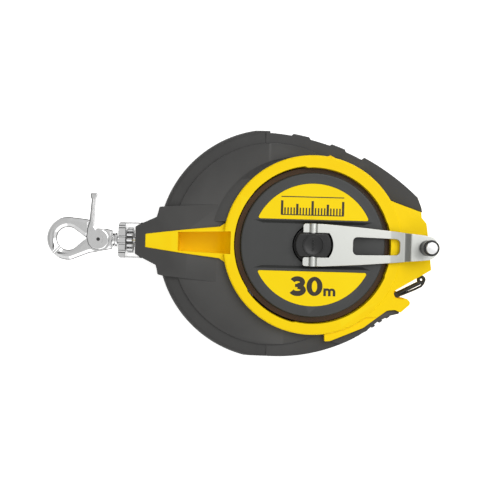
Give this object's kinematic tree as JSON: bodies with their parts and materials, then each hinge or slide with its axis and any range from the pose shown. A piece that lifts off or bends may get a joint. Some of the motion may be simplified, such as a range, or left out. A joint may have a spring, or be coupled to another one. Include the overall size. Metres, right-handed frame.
{
  "type": "closed-case tape reel",
  "caption": "Round closed-case long tape measure with a fold-away crank, geared drum, spring snap hook on a swivel at the blade end, and a lanyard link.",
  "frame": {"origin": "drum axis on the rear face", "axes": "+Z out of the crank side along the drum axis, -X along the blade as it leaves the mouth, +Y across the case"},
  "size_m": [0.2546, 0.1468, 0.0648],
  "materials": {
    "yellow_abs": "satin moulded ABS",
    "yellow_label": "printed label",
    "charcoal_rubber": "matte overmould",
    "dark_plastic": "semi-gloss",
    "black_plastic": "satin",
    "white_plastic": "smooth",
    "white_nylon": "natural nylon",
    "crank_metal": "satin",
    "chrome": "bright plated",
    "bright_steel": "bright",
    "zinc_steel": "zinc plated",
    "blade_steel": "coated steel tape",
    "bronze": "sintered",
    "felt": "felt",
    "black_wire": "black coated"
  },
  "bodies": {
    "case": {"rear_shell": "yellow_abs", "front_shell": "yellow_abs", "rear_overmould": "charcoal_rubber", "front_overmould": "charcoal_rubber", "top_grip": "charcoal_rubber", "lower_grip": "charcoal_rubber", "dial_plate": "dark_plastic", "upper_label": "yellow_label", "lower_label": "yellow_label", "case_screws": "zinc_steel", "drum_axle": "bright_steel", "crank_bush": "bronze", "mouth_guide": "black_plastic", "mouth_wiper": "felt", "roller_pins": "bright_steel", "blade_run": "blade_steel", "link_pin": "bright_steel"},
    "near_guide": {"near_roller": "white_nylon"},
    "far_guide": {"far_roller": "white_nylon"},
    "drum_assembly": {"drum": "black_plastic", "drum_front_flange": "black_plastic", "drum_bush": "bronze", "drum_pinion": "white_nylon", "pinion_screws": "zinc_steel", "blade_coil": "blade_steel"},
    "hub_assembly": {"crank_gear": "white_nylon", "gear_screw": "zinc_steel", "crank_hub": "black_plastic", "hub_cap": "black_plastic", "hinge_pins": "bright_steel"},
    "arm_assembly": {"crank_arm": "crank_metal", "knob_stud": "bright_steel", "knob_cap": "white_plastic"},
    "knob": {"crank_knob": "black_plastic"},
    "blade_end": {"blade_lead": "blade_steel", "end_clamp": "chrome", "clamp_rivets": "bronze", "end_claw": "chrome", "end_ferrule": "chrome"},
    "snap": {"snap_body": "chrome", "snap_rivet": "bright_steel", "snap_spring": "bright_steel"},
    "trigger": {"snap_trigger": "chrome"},
    "link": {"lanyard_link": "black_wire", "link_wire": "black_wire"}
  },
  "joints": [
    {"name": "drum_spin", "type": "hinge", "parent": "case", "child": "drum_assembly", "pos_m": [0, 0, 0], "axis": [0, 0, -1], "range_deg": [0, 42120]},
    {"name": "crank_spin", "type": "hinge", "parent": "case", "child": "hub_assembly", "pos_m": [0.0252, 0, 0], "axis": [0, 0, -1], "range_deg": [-14040, 0]},
    {"name": "crank_fold", "type": "hinge", "parent": "hub_assembly", "child": "arm_assembly", "pos_m": [0.0252, 0, 0.044], "axis": [0, -1, 0], "range_deg": [0, 180]},
    {"name": "knob_spin", "type": "hinge", "parent": "arm_assembly", "child": "knob", "pos_m": [0.0962, 0, 0], "axis": [0, 0, 1], "continuous": true},
    {"name": "blade_pull", "type": "slide", "parent": "case", "child": "blade_end", "axis": [-1, 0, 0], "range_m": [0, 0.014]},
    {"name": "hook_swivel", "type": "hinge", "parent": "blade_end", "child": "snap", "pos_m": [-0.1005, 0, 0.012], "axis": [1, 0, 0], "continuous": true},
    {"name": "trigger_pull", "type": "hinge", "parent": "snap", "child": "trigger", "pos_m": [-0.1159, 0, 0.012], "axis": [0, 0, -1], "range_deg": [0, 28], "stiffness_Nm_per_rad": 0.08, "springref_deg": -20.05},
    {"name": "link_swing", "type": "hinge", "parent": "case", "child": "link", "pos_m": [0.082, -0.032, 0.0198], "axis": [0, 0, 1], "range_deg": [-60, 3]},
    {"name": "near_roller_spin", "type": "hinge", "parent": "case", "child": "near_guide", "pos_m": [-0.0735, -0.0058, 0], "axis": [0, 0, 1], "continuous": true},
    {"name": "far_roller_spin", "type": "hinge", "parent": "case", "child": "far_guide", "pos_m": [-0.078, 0.0045, 0], "axis": [0, 0, 1], "continuous": true}
  ],
  "couplings": [
    {"joint": "crank_spin", "follows": "drum_spin", "ratio": -0.33333}
  ]
}
